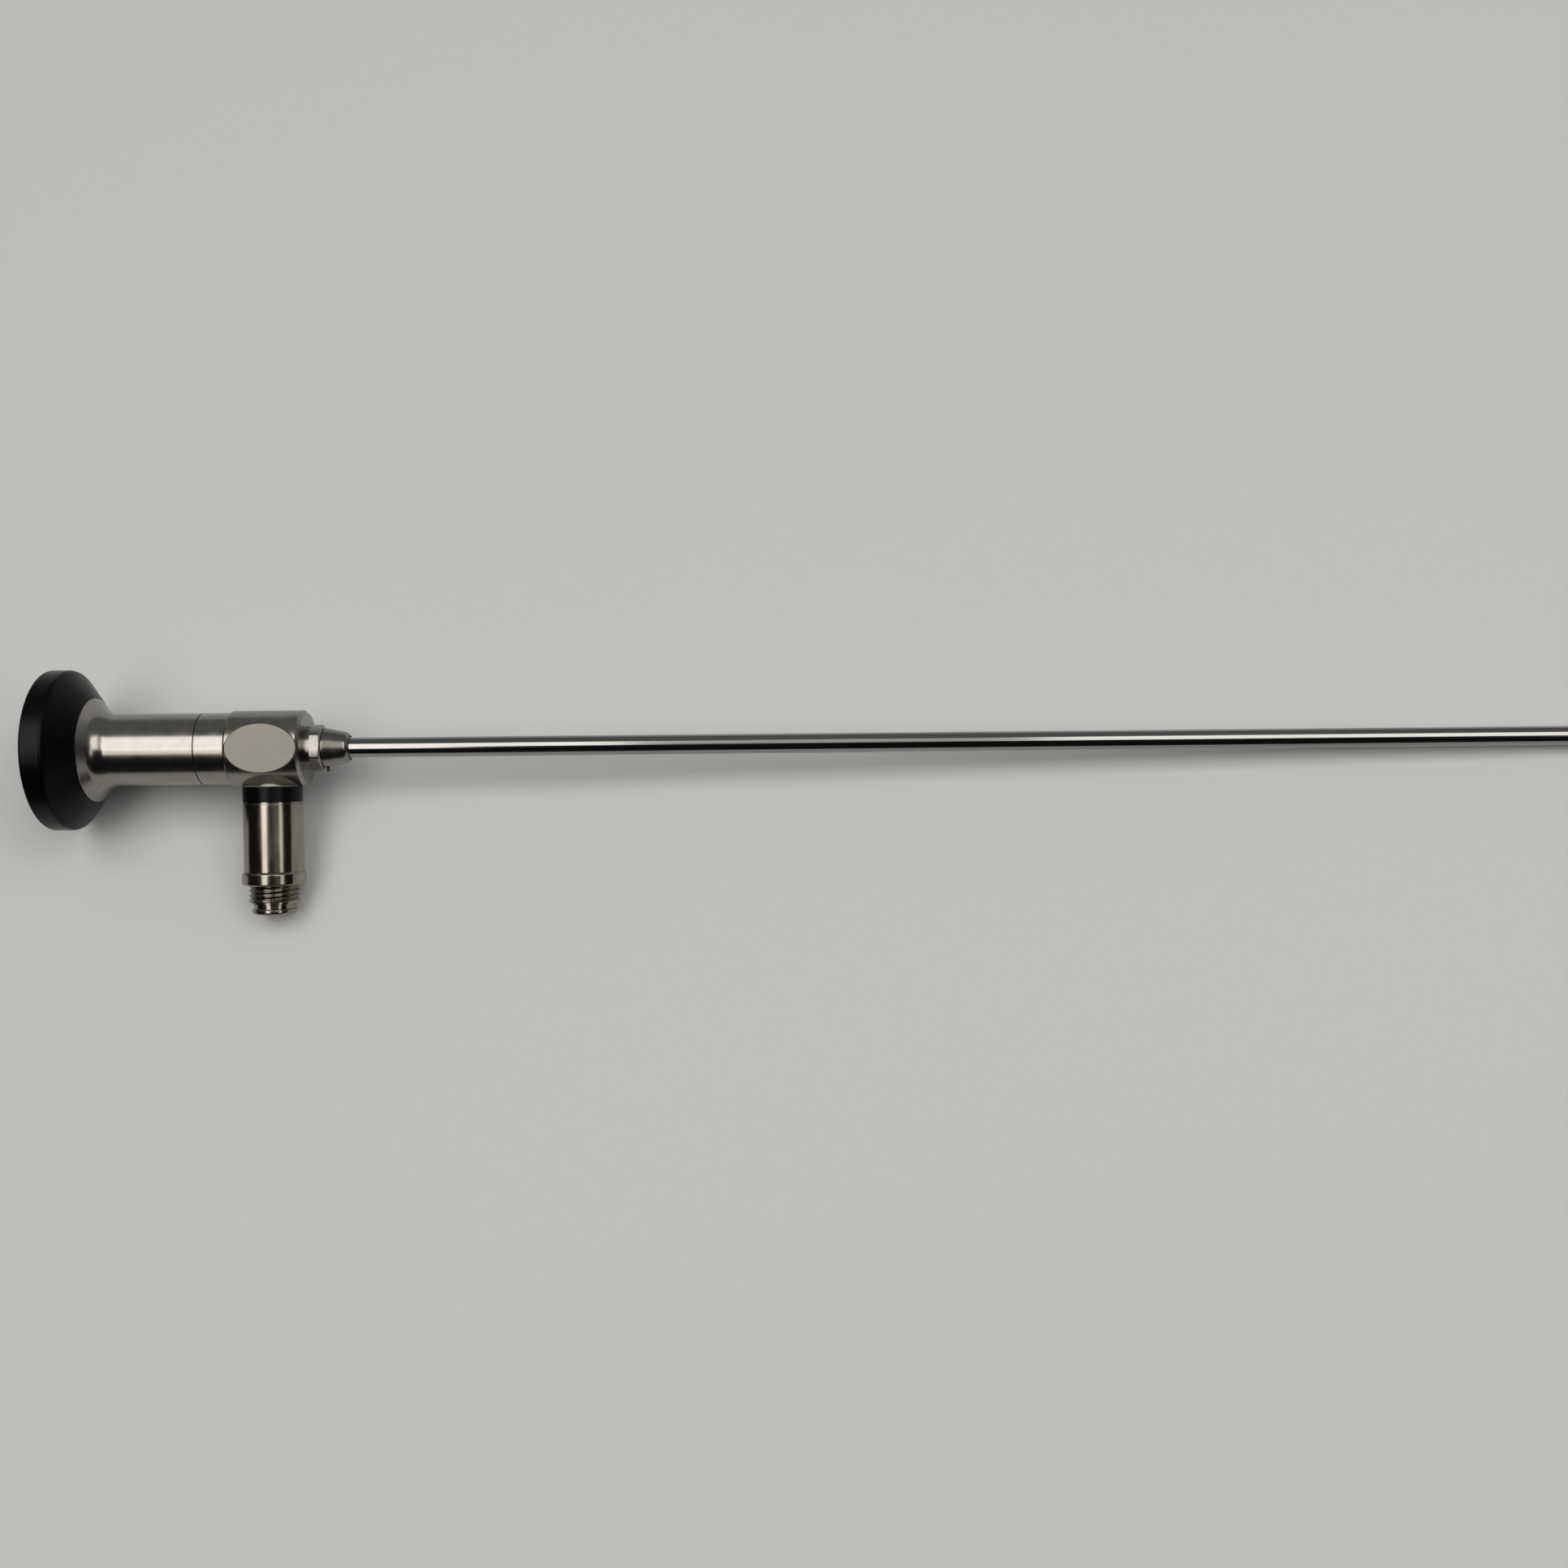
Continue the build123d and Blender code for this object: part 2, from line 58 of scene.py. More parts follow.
# The camera looks down on the telescope from the side of the oval plate, as in the photograph,
# from 293 mm in front of the optical axis and 130 mm along it.
CAMERA_AT = Vector((129.97, -3.01, 292.9))
CAMERA_TURN = (0.0181, 0.0515, 0.0115)
CAMERA_NEAR = 0.01
FOCAL_PIXELS = 1769.6
FRAME_PIXELS = 1932
SENSOR_MM = 36.0
turned_view = (
    Matrix.Rotation(CAMERA_TURN[2], 3, "Z")
    @ Matrix.Rotation(CAMERA_TURN[1], 3, "Y")
    @ Matrix.Rotation(CAMERA_TURN[0], 3, "X")
)
lens_data = bpy.data.cameras.new("view_camera")
lens_data.sensor_width = SENSOR_MM
lens_data.lens = SENSOR_MM * FOCAL_PIXELS / FRAME_PIXELS
lens_data.clip_start = CAMERA_NEAR
camera = bpy.data.objects.new("view_camera", lens_data)
camera.matrix_world = Matrix.Translation(laid @ CAMERA_AT) @ (turn_down @ turned_view.transposed()).to_4x4()
bpy.context.scene.collection.objects.link(camera)
bpy.context.scene.camera = camera
bpy.context.scene.view_settings.view_transform = "Standard"


# The table is a plain pale grey sheet, far wider than the telescope, that only takes its shadow. It ends
# just below the picture, where the viewer stands.
FLOOR_HALF = 3.0
FLOOR_NEAR = 0.152
FLOOR_GREY = (0.72, 0.73, 0.73, 1.0)
FLOOR_DARKER = 0.97
FLOOR_CLOUDS = 1.5
FLOOR_ROUGHNESS = 0.7


def new_material(name):
    material = bpy.data.materials.new(name)
    material.use_nodes = True
    tree = material.node_tree
    return material, tree.nodes, tree.links, tree.nodes["Principled BSDF"]


def table_paint():
    material, nodes, links, shader = new_material("table_paint")
    place = nodes.new("ShaderNodeTexCoord")
    cloud = nodes.new("ShaderNodeTexNoise")
    cloud.inputs["Scale"].default_value = FLOOR_CLOUDS
    tone = nodes.new("ShaderNodeMix")
    tone.data_type = "RGBA"
    tone.inputs["A"].default_value = FLOOR_GREY
    tone.inputs["B"].default_value = [FLOOR_DARKER * part for part in FLOOR_GREY[:3]] + [1.0]
    shader.inputs["Roughness"].default_value = FLOOR_ROUGHNESS
    links.new(place.outputs["Object"], cloud.inputs["Vector"])
    links.new(cloud.outputs["Fac"], tone.inputs["Factor"])
    links.new(tone.outputs["Result"], shader.inputs["Base Color"])
    return material


table_mesh = bmesh.new()
bmesh.ops.create_grid(table_mesh, x_segments=1, y_segments=1, size=FLOOR_HALF)
bmesh.ops.translate(table_mesh, vec=(0, FLOOR_HALF - FLOOR_NEAR, 0), verts=table_mesh.verts)
bmesh.ops.rotate(table_mesh, cent=(0, 0, 0), verts=table_mesh.verts,
                 matrix=Matrix.Rotation(math.atan2(-upward.x, upward.y), 3, "Z"))
table_data = bpy.data.meshes.new("table")
table_mesh.to_mesh(table_data)
table_mesh.free()
table_data.materials.append(table_paint())
table = bpy.data.objects.new("table", table_data)
bpy.context.scene.collection.objects.link(table)


# Soft light: two long panels over the telescope with a dimmer one between them, two low strips beside the
# viewer that draw the upright bands on the light post, and a room that is dark behind the viewer.
LAMP_AWAY = 2000.0
PANEL_WHITE = (1.0, 0.975, 0.935)
STRIP_WHITE = (1.0, 0.96, 0.90)
ROOM_WHITE = (0.95, 0.98, 1.0, 1.0)
ROOM_DIM = 0.012
ROOM_GREY = 0.20
DIM_BELOW = -0.05
GREY_ABOVE = 0.45


def lamp(name, beside, tilt, width, height, watts, colour):
    """A panel tilt degrees above the view line, its middle beside the eyecup's face by so many mm."""
    along_lamp = Vector((1, 0, 0))
    back = Vector((0, math.sin(math.radians(tilt)), math.cos(math.radians(tilt))))
    data = bpy.data.lights.new(name, "AREA")
    data.shape = "RECTANGLE"
    data.size = width
    data.size_y = height
    data.energy = watts
    data.color = colour
    holder = bpy.data.objects.new(name, data)
    facing = turn_down @ Matrix((along_lamp, back.cross(along_lamp), back)).transposed()
    middle = laid @ (back * LAMP_AWAY + beside * along_lamp)
    holder.matrix_world = Matrix.Translation(middle) @ facing.to_4x4()
    bpy.context.scene.collection.objects.link(holder)


lamp("left_panel", beside=-638, tilt=20, width=1.26, height=1.52, watts=16.8, colour=PANEL_WHITE)
lamp("middle_panel", beside=333, tilt=21, width=0.68, height=1.45, watts=2.2, colour=PANEL_WHITE)
lamp("right_panel", beside=1420, tilt=22, width=1.50, height=1.50, watts=16.8, colour=PANEL_WHITE)
lamp("left_strip", beside=-638, tilt=-7, width=0.73, height=0.63, watts=3.5, colour=STRIP_WHITE)
lamp("right_strip", beside=2061, tilt=-7, width=0.82, height=0.63, watts=2.6, colour=STRIP_WHITE)

world = bpy.data.worlds.new("room")
bpy.context.scene.world = world
world.use_nodes = True
room = world.node_tree
direction = room.nodes.new("ShaderNodeTexCoord")
height = room.nodes.new("ShaderNodeVectorMath")
height.operation = "DOT_PRODUCT"
height.inputs[1].default_value = upward
fade = room.nodes.new("ShaderNodeMapRange")
fade.interpolation_type = "SMOOTHSTEP"
fade.inputs["From Min"].default_value = DIM_BELOW
fade.inputs["From Max"].default_value = GREY_ABOVE
fade.inputs["To Min"].default_value = ROOM_DIM
fade.inputs["To Max"].default_value = ROOM_GREY
room.links.new(direction.outputs["Generated"], height.inputs[0])
room.links.new(height.outputs["Value"], fade.inputs["Value"])
room.links.new(fade.outputs["Result"], room.nodes["Background"].inputs["Strength"])
room.nodes["Background"].inputs["Color"].default_value = ROOM_WHITE


# The eyecup is moulded in hard black plastic and screwed over the housing's neck. Its broad rim is what
# a camera clamps on, and the funnel behind it centres the eye on the small window.
ROUND_STEPS = 160
SMOOTH_DEGREES = 30
GUARD = 0.02
RIM_R = 15.9
RIM_FACE_R = 14.6
RIM_BACK = 4.0
RIM_EASE = 0.45
FACE_EASE = 0.3
FUNNEL_X = 0.9
FUNNEL_R = 14.0
FUNNEL_EASE = 0.5
WINDOW_X = 5.6
WINDOW_R = 5.6
NECK_X = 6.2
NECK_R = 7.6
FLANGE_X = 8.14
FLANGE_R = 10.37
CUP_EASE = 0.06
CUP_SECTION = [
    (0, RIM_FACE_R), (0, RIM_R), (RIM_BACK, RIM_R), (FLANGE_X, FLANGE_R), (FLANGE_X, NECK_R),
    (NECK_X, NECK_R), (NECK_X, WINDOW_R), (WINDOW_X, WINDOW_R), (FUNNEL_X, FUNNEL_R),
]
BUMP_STRENGTH = 0.1
BUMP_MM = 0.005
BUMP_GRAINS = 6.0
GRAIN_DETAIL = 2.0
TONE_CLOUDS = 0.6


def turned(section, steps=ROUND_STEPS):
    """A bmesh turned about the optical axis from a closed section of (x, radius) corners."""
    piece = bmesh.new()
    corners = [piece.verts.new((x, radius, 0)) for x, radius in section]
    sides = [piece.edges.new(pair) for pair in zip(corners, corners[1:] + corners[:1])]
    bmesh.ops.spin(piece, geom=corners + sides, cent=(0, 0, 0), axis=(1, 0, 0), dvec=(0, 0, 0),
                   angle=math.tau, steps=steps, use_merge=True, use_duplicate=False)
    bmesh.ops.remove_doubles(piece, verts=piece.verts, dist=1e-5)
    bmesh.ops.recalc_face_normals(piece, faces=piece.faces)
    return piece


def is_ring(edge, x, radius):
    """Whether both ends of an edge lie on the circle at x, within a small part of a millimetre."""
    return all(
        abs(end.co.x - x) < 1e-3 and abs(math.hypot(end.co.y, end.co.z) - radius) < 1e-2
        for end in edge.verts
    )


def round_rings(piece, rings, segments=4):
    """Rounds the circular edges at each (x, radius, size). A loop on both sides keeps the rest straight."""
    for x, radius, size in rings:
        edges = [edge for edge in piece.edges if is_ring(edge, x, radius)]
        bmesh.ops.bevel(piece, geom=edges, offset=size, offset_type="OFFSET", affect="EDGES",
                        segments=segments, profile=0.5, material=-1, clamp_overlap=True)
    for x, radius, size in rings:
        for beside in (x - size - GUARD, x + size + GUARD):
            bmesh.ops.bisect_plane(piece, geom=piece.verts[:] + piece.edges[:] + piece.faces[:],
                                   dist=1e-6, plane_co=(beside, 0, 0), plane_no=(1, 0, 0))
    return piece


def finished(name, piece, material, slot, *stands_for):
    """Lays the piece down with the telescope and hides the solids it stands for."""
    data = bpy.data.meshes.new(name)
    piece.to_mesh(data)
    piece.free()
    data.transform(laid)
    data.shade_smooth()
    data.set_sharp_from_angle(angle=math.radians(SMOOTH_DEGREES))
    data.materials.append(material)
    whole = bpy.data.objects.new(name, data)
    bpy.context.scene.collection.objects.link(whole)
    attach(whole, "root")
    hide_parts(*stands_for)
    return whole


def instrument_space(nodes):
    """Object coordinates turned back into millimetres along the optical axis."""
    place = nodes.new("ShaderNodeTexCoord")
    back = nodes.new("ShaderNodeMapping")
    back.vector_type = "TEXTURE"
    back.inputs["Location"].default_value = face_centre
    back.inputs["Rotation"].default_value = turn_down.to_euler()
    back.inputs["Scale"].default_value = (MM, MM, MM)
    place.id_data.links.new(place.outputs["Object"], back.inputs["Vector"])
    return back.outputs["Vector"]


def noise(nodes, links, vector, scale, detail=3.0, stretch=(1, 1, 1)):
    """Noise on instrument coordinates, its scale in grains for each millimetre."""
    pull = nodes.new("ShaderNodeMapping")
    pull.inputs["Scale"].default_value = stretch
    grain = nodes.new("ShaderNodeTexNoise")
    grain.inputs["Scale"].default_value = scale
    grain.inputs["Detail"].default_value = detail
    links.new(vector, pull.inputs["Vector"])
    links.new(pull.outputs["Vector"], grain.inputs["Vector"])
    return grain.outputs["Fac"]


def spread(nodes, links, value, low, high, low_in=0.3, high_in=0.7):
    """Spreads the middle of a noise, where nearly all of it lies, over low to high."""
    stretch = nodes.new("ShaderNodeMapRange")
    stretch.inputs["From Min"].default_value = low_in
    stretch.inputs["From Max"].default_value = high_in
    stretch.inputs["To Min"].default_value = low
    stretch.inputs["To Max"].default_value = high
    links.new(value, stretch.inputs["Value"])
    return stretch.outputs["Result"]


def between(nodes, links, value, dark, light):
    mix = nodes.new("ShaderNodeMix")
    mix.data_type = "RGBA"
    mix.inputs["A"].default_value = (*dark, 1.0)
    mix.inputs["B"].default_value = (*light, 1.0)
    links.new(value, mix.inputs["Factor"])
    return mix.outputs["Result"]


def bumped(nodes, links, shader, value, strength, distance):
    bump = nodes.new("ShaderNodeBump")
    bump.inputs["Strength"].default_value = strength
    bump.inputs["Distance"].default_value = distance
    links.new(value, bump.inputs["Height"])
    links.new(bump.outputs["Normal"], shader.inputs["Normal"])


def dull(name, low, high, rough, metallic=0.0, gloss=0.5):
    """A finish without the shine of bare metal: clouds of tone and roughness over fine grains."""
    material, nodes, links, shader = new_material(name)
    space = instrument_space(nodes)
    clouds = noise(nodes, links, space, TONE_CLOUDS)
    grains = noise(nodes, links, space, BUMP_GRAINS, GRAIN_DETAIL)
    links.new(between(nodes, links, spread(nodes, links, clouds, 0, 1), low, high), shader.inputs["Base Color"])
    links.new(spread(nodes, links, clouds, rough[0], rough[1]), shader.inputs["Roughness"])
    shader.inputs["Metallic"].default_value = metallic
    shader.inputs["Specular IOR Level"].default_value = gloss
    bumped(nodes, links, shader, grains, BUMP_STRENGTH, BUMP_MM * MM)
    return material


black_plastic = dull("black_plastic", low=(0.0004, 0.0004, 0.0006), high=(0.0014, 0.0014, 0.0018),
                     rough=(0.28, 0.34), gloss=0.13)
cup = round_rings(turned(CUP_SECTION), [
    (0, RIM_R, RIM_EASE), (0, RIM_FACE_R, FACE_EASE), (FUNNEL_X, FUNNEL_R, FUNNEL_EASE),
    (RIM_BACK, RIM_R, RIM_EASE), (FLANGE_X, FLANGE_R, CUP_EASE),
])
finished("eyecup_shell", cup, black_plastic, "black_plastic", "eyecup")


# The eyepiece housing is turned from stainless steel in one piece: a thin flange behind the eyecup that
# sweeps down into the tube. The plain ring ahead of it joins housing and light block, past a fine groove.
# Both are blasted with fine beads after turning, which leaves them satin with faint clouds.
TUBE_R = 7.19
HOUSING_END = 29.23
HOUSING_BORE_R = 5.8
HOUSING_BORE_X = 10.0
EYE_HOLE_R = 3.9
WINDOW_SEAT_X = 8.0
WINDOW_SEAT_R = 4.6
SPIGOT_X = 23.0
SPIGOT_R = 6.2
FLARE = 1.336
FLARE_FOOT = FLANGE_X + (FLANGE_R - TUBE_R) / FLARE
FLARE_EASE = 1.9
HOUSING_EASE = 0.12
JOINT_HALF = 0.10
JOINT_R = 6.75
JOINT_EASE = 0.03
HOUSING_JOINT = HOUSING_END - JOINT_HALF
RING_JOINT = HOUSING_END + JOINT_HALF
RING_END = 35.0
RING_EASE = 0.10
RING_NOSE_R = 4.0
RING_BORE_R = 4.8
STOP_X = 25.0
BLOCK_SEAT_R = 5.6
BLOCK_SEAT_END = 37.5
HOUSING_SECTION = [
    (NECK_X, WINDOW_SEAT_R), (NECK_X, NECK_R), (FLANGE_X, NECK_R), (FLANGE_X, FLANGE_R), (FLARE_FOOT, TUBE_R),
    (HOUSING_JOINT, TUBE_R), (HOUSING_JOINT, JOINT_R), (HOUSING_END, JOINT_R), (HOUSING_END, SPIGOT_R),
    (SPIGOT_X, SPIGOT_R), (SPIGOT_X, HOUSING_BORE_R), (HOUSING_BORE_X, HOUSING_BORE_R),
    (HOUSING_BORE_X, EYE_HOLE_R), (WINDOW_SEAT_X, EYE_HOLE_R), (WINDOW_SEAT_X, WINDOW_SEAT_R),
]
RING_SECTION = [
    (SPIGOT_X, RING_NOSE_R), (SPIGOT_X, SPIGOT_R), (HOUSING_END, SPIGOT_R), (HOUSING_END, JOINT_R),
    (RING_JOINT, JOINT_R), (RING_JOINT, TUBE_R), (RING_END, TUBE_R), (RING_END, BLOCK_SEAT_R),
    (BLOCK_SEAT_END, BLOCK_SEAT_R), (BLOCK_SEAT_END, RING_BORE_R), (STOP_X, RING_BORE_R), (STOP_X, RING_NOSE_R),
]
METAL_BUMP = 0.3
CLOUD_DETAIL = 4.0


def metal(name, dark, light, rough, cloud, grain, grain_depth, stretch=(1, 1, 1)):
    """Bare metal: clouds of tone and roughness over a fine grain, its depth in millimetres."""
    material, nodes, links, shader = new_material(name)
    space = instrument_space(nodes)
    clouds = noise(nodes, links, space, cloud, CLOUD_DETAIL, stretch)
    grains = noise(nodes, links, space, grain, GRAIN_DETAIL, stretch)
    shader.inputs["Metallic"].default_value = 1.0
    links.new(between(nodes, links, spread(nodes, links, clouds, 0, 1), dark, light), shader.inputs["Base Color"])
    links.new(spread(nodes, links, clouds, rough[0], rough[1]), shader.inputs["Roughness"])
    bumped(nodes, links, shader, grains, METAL_BUMP, grain_depth * MM)
    return material


satin_steel = metal("satin_steel", dark=(0.27, 0.26, 0.235), light=(0.33, 0.315, 0.29), rough=(0.18, 0.24),
                    cloud=0.4, grain=9.0, grain_depth=0.003)
housing = round_rings(turned(HOUSING_SECTION),
                      [(FLANGE_X, FLANGE_R, HOUSING_EASE), (HOUSING_JOINT, TUBE_R, JOINT_EASE)], 3)
housing = round_rings(housing, [(FLARE_FOOT, TUBE_R, FLARE_EASE)], 12)
finished("eyepiece_housing_shell", housing, satin_steel, "satin_steel", "eyepiece_housing")
joint_ring = round_rings(turned(RING_SECTION),
                         [(RING_JOINT, TUBE_R, JOINT_EASE), (RING_END, TUBE_R, RING_EASE)], 3)
finished("joint_ring", joint_ring, satin_steel, "satin_steel", "body_ring")


# The light block is turned and cross-drilled from the same steel, blasted coarser so that it looks
# darker, and keeps the solid's shape. The oval plate let into its front is blank, with a rounded edge.
BADGE_X = 42.25
BADGE_HALF = (6.95, 4.875)
BADGE_SEAT = 6.75
BADGE_TOP = 7.65
BADGE_EASE = 0.16
BADGE_STEPS = 96
blasted_steel = metal("blasted_steel", dark=(0.26, 0.25, 0.23), light=(0.32, 0.305, 0.28), rough=(0.22, 0.28),
                      cloud=0.4, grain=9.0, grain_depth=0.002)
badge_steel = metal("badge_steel", dark=(0.16, 0.153, 0.138), light=(0.20, 0.191, 0.173), rough=(0.34, 0.42),
                    cloud=0.3, grain=10.0, grain_depth=0.003)
plate = bmesh.new()
bmesh.ops.create_circle(plate, cap_ends=True, segments=BADGE_STEPS, radius=1.0)
bmesh.ops.scale(plate, vec=(*BADGE_HALF, 1), verts=plate.verts)
bmesh.ops.translate(plate, vec=(BADGE_X, 0, BADGE_SEAT), verts=plate.verts)
raised = bmesh.ops.extrude_face_region(plate, geom=plate.faces[:])
bmesh.ops.translate(plate, vec=(0, 0, BADGE_TOP - BADGE_SEAT),
                    verts=[part for part in raised["geom"] if isinstance(part, bmesh.types.BMVert)])
bmesh.ops.recalc_face_normals(plate, faces=plate.faces)
top_edges = [edge for edge in plate.edges if all(end.co.z > BADGE_TOP - 1e-3 for end in edge.verts)]
bmesh.ops.bevel(plate, geom=top_edges, offset=BADGE_EASE, offset_type="OFFSET", affect="EDGES", segments=4,
                profile=0.5, material=-1)
top_faces = [face for face in plate.faces if face.calc_center_median().z > BADGE_TOP - 1e-4]
bmesh.ops.inset_region(plate, faces=top_faces, thickness=GUARD, use_even_offset=True)
finished("oval_plate", plate, badge_steel, "badge_steel", "oval_badge")


# The coupling is one turned and milled piece screwed into the block: a short groove, a hexagon for the
# wrench, a fine groove, and the cone that a sheath locks on. Its edges are polished round.
SHAFT_ROOT_R = 2.18
SHANK_X = 47.2
SHANK_R = 3.6
BLOCK_END = 49.5
NECK_GROOVE_R = 4.4
HEX_X = 50.8
HEX_FACE_R = 4.75
HEX_FACE_SLOPE = 0.25
HEX_R = 5.0
HEX_FLAT = 4.38
HEX_CROWN = 9.0
HEX_TURN = math.radians(4.3)
HEX_CHAMFER_X = 52.4
HEX_END = 52.85
HEX_END_R = 4.1
HEX_SLICES = 10
HEX_STEPS = 180
EDGE_SOFTNESS = 0.10
GROOVE_R = 3.75
CONE_X = 53.1
CONE_R = 4.0
CONE_EASE = 0.08
CONE_FOOT = (57.3, 3.12)
FOOT_EASE = 0.25
CONE_END = (57.9, 2.6)
END_EASE = 0.12
RECESS_X = 57.1
RECESS_R = 2.45
CONE_SECTION_START = [
    (SHANK_X, SHAFT_ROOT_R), (SHANK_X, SHANK_R), (BLOCK_END, SHANK_R), (BLOCK_END, NECK_GROOVE_R),
    (HEX_X, NECK_GROOVE_R), (HEX_X, HEX_FACE_R),
]
CONE_SECTION_END = [
    (HEX_END, HEX_END_R), (HEX_END, GROOVE_R), (CONE_X, GROOVE_R), (CONE_X, CONE_R), CONE_FOOT, CONE_END,
    (CONE_END[0], RECESS_R), (RECESS_X, RECESS_R), (RECESS_X, SHAFT_ROOT_R),
]


def slices(start, end, count):
    """Corners from start up to but not including end, so that a stretch gets count slices."""
    return [
        tuple(a + (b - a) * index / count for a, b in zip(start, end))
        for index in range(count)
    ]


def softer_least(a, b, softness):
    """The lesser of two lengths, eased where they are nearly the same."""
    return 0.5 * (a + b - math.hypot(a - b, softness))


def mill_hexagon(piece):
    """Brings the turned collar in to six flats, slightly crowned by polishing."""
    for vertex in piece.verts:
        reach = math.hypot(vertex.co.y, vertex.co.z)
        if HEX_X - 1e-3 < vertex.co.x < HEX_END + 1e-3 and reach > GROOVE_R + 0.05:
            turn = (math.atan2(vertex.co.z, vertex.co.y) + HEX_TURN) % (math.pi / 3) - math.pi / 6
            behind = HEX_CROWN - HEX_FLAT
            flat = math.sqrt(HEX_CROWN**2 - (behind * math.sin(turn))**2) - behind * math.cos(turn)
            milled = softer_least(reach, flat, EDGE_SOFTNESS)
            vertex.co.y *= milled / reach
            vertex.co.z *= milled / reach


coupling_steel = metal("coupling_steel", dark=(0.23, 0.22, 0.20), light=(0.28, 0.27, 0.25), rough=(0.22, 0.28),
                       cloud=0.4, grain=6.0, grain_depth=0.001)
cone = turned([
    *CONE_SECTION_START,
    *slices((HEX_X + HEX_FACE_SLOPE, HEX_R), (HEX_CHAMFER_X, HEX_R), HEX_SLICES),
    *slices((HEX_CHAMFER_X, HEX_R), (HEX_END, HEX_END_R), HEX_SLICES),
    *CONE_SECTION_END,
], HEX_STEPS)
mill_hexagon(cone)
round_rings(cone, [(CONE_X, CONE_R, CONE_EASE), (*CONE_FOOT, FOOT_EASE), (*CONE_END, END_EASE)], 3)
finished("sheath_cone", cone, coupling_steel, "blasted_steel", "coupling_cone")


# The shaft is drawn stainless tube, polished along its length. Its root is a little thicker, where it is
# soldered into the coupling.
SHAFT_ROOT_END = 57.95
SHAFT_R = 2.0
SHAFT_BORE_R = 1.82
TIP_X = 360.0
TIP_EASE = 0.1
ROOT_EASE = 0.03
SHAFT_SECTION = [
    (SHANK_X, SHAFT_BORE_R), (SHANK_X, SHAFT_ROOT_R), (SHAFT_ROOT_END, SHAFT_ROOT_R), (SHAFT_ROOT_END, SHAFT_R),
    (TIP_X, SHAFT_R), (TIP_X, SHAFT_BORE_R),
]
polished_steel = metal("polished_steel", dark=(0.27, 0.266, 0.256), light=(0.33, 0.325, 0.315), rough=(0.09, 0.14),
                       cloud=0.5, grain=3.0, grain_depth=0.0005, stretch=(0.03, 1, 1))
shaft = round_rings(turned(SHAFT_SECTION),
                    [(TIP_X, SHAFT_R, TIP_EASE), (SHAFT_ROOT_END, SHAFT_ROOT_R, ROOT_EASE)], 3)
finished("shaft", shaft, polished_steel, "polished_steel", "shaft_tube")


# The light post's screwed end is nickel-plated brass, worn smooth: a bevelled collar, a coarse double
# thread and a rounded lip for the light cable. The sleeve above it is plated in the same way.
POST_X = 42.4
POST_STEPS = 144
POST_R = 5.78
BASE_R = 3.2
BASE_END = 24.0
FERRULE_R = 2.2
SLEEVE_START = 11.0
SLEEVE_START_EASE = 0.14
SLEEVE_END = 24.6
SLEEVE_END_EASE = 0.05
NIPPLE_R = 4.6
NIPPLE_START = 20.5
COLLAR_START = 25.0
COLLAR_START_EASE = 0.12
COLLAR_R = 6.15
COLLAR_END_EASE = 0.3
THREAD_START = 27.2
THREAD_LEAD_IN = 0.01
THREAD_END = 30.6
THREAD_R = 4.93
THREAD_DEPTH = 0.52
THREAD_LEAD = 1.9
THREAD_STARTS = 2
THREAD_SLICES = 84
THREAD_FADE = 0.35
CREST_FLAT = 0.12
SHOULDER_R = 4.41
SHOULDER_END = 31.0
WAIST_START = 31.1
WAIST_R = 3.97
WAIST_END = 32.0
LIP_START = 32.15
LIP_START_EASE = 0.12
LIP_R = 4.25
LIP_END = 33.1
LIP_END_EASE = 0.4


def down_post(piece, place=POST_X):
    """Turns a piece drawn along x so that it runs down the light post, or down beside it at another place."""
    bmesh.ops.transform(piece, matrix=Matrix.Translation((place, 0, 0)) @ Matrix.Rotation(-math.pi / 2, 4, "Z"),
                        verts=piece.verts)
    return piece


def cut_thread(piece):
    """Cuts the coarse V thread, right-handed, fading out at both ends of the threaded stretch."""
    for vertex in piece.verts:
        down, reach = vertex.co.x, math.hypot(vertex.co.y, vertex.co.z)
        if THREAD_START + 1e-3 < down < THREAD_END - 1e-3 and reach > THREAD_R - 1e-2:
            turn = math.atan2(vertex.co.z, vertex.co.y) / math.tau
            phase = (down / THREAD_LEAD - turn) * THREAD_STARTS % 1.0
            valley = max(0.0, 1 - abs(2 * phase - 1) * (1 + CREST_FLAT))
            fade = min(1.0, (down - THREAD_START) / THREAD_FADE, (THREAD_END - down) / THREAD_FADE)
            cut = 1 - THREAD_DEPTH * valley * fade / reach
            vertex.co.y *= cut
            vertex.co.z *= cut


nickel_plate = metal("nickel_plate", dark=(0.24, 0.225, 0.19), light=(0.33, 0.305, 0.26), rough=(0.13, 0.20),
                     cloud=0.5, grain=1.2, grain_depth=0.012, stretch=(1, 0.25, 1))
nipple = turned([
    (NIPPLE_START, BASE_R), (NIPPLE_START, NIPPLE_R), (SLEEVE_END, NIPPLE_R), (SLEEVE_END, POST_R),
    (COLLAR_START, COLLAR_R), (THREAD_START, COLLAR_R), (THREAD_START, THREAD_R),
    *slices((THREAD_START + THREAD_LEAD_IN, THREAD_R), (THREAD_END, THREAD_R), THREAD_SLICES), (THREAD_END, THREAD_R),
    (THREAD_END, SHOULDER_R), (SHOULDER_END, SHOULDER_R), (WAIST_START, WAIST_R), (WAIST_END, WAIST_R),
    (LIP_START, LIP_R), (LIP_END, LIP_R), (LIP_END, FERRULE_R), (BASE_END, FERRULE_R), (BASE_END, BASE_R),
], POST_STEPS)
cut_thread(nipple)
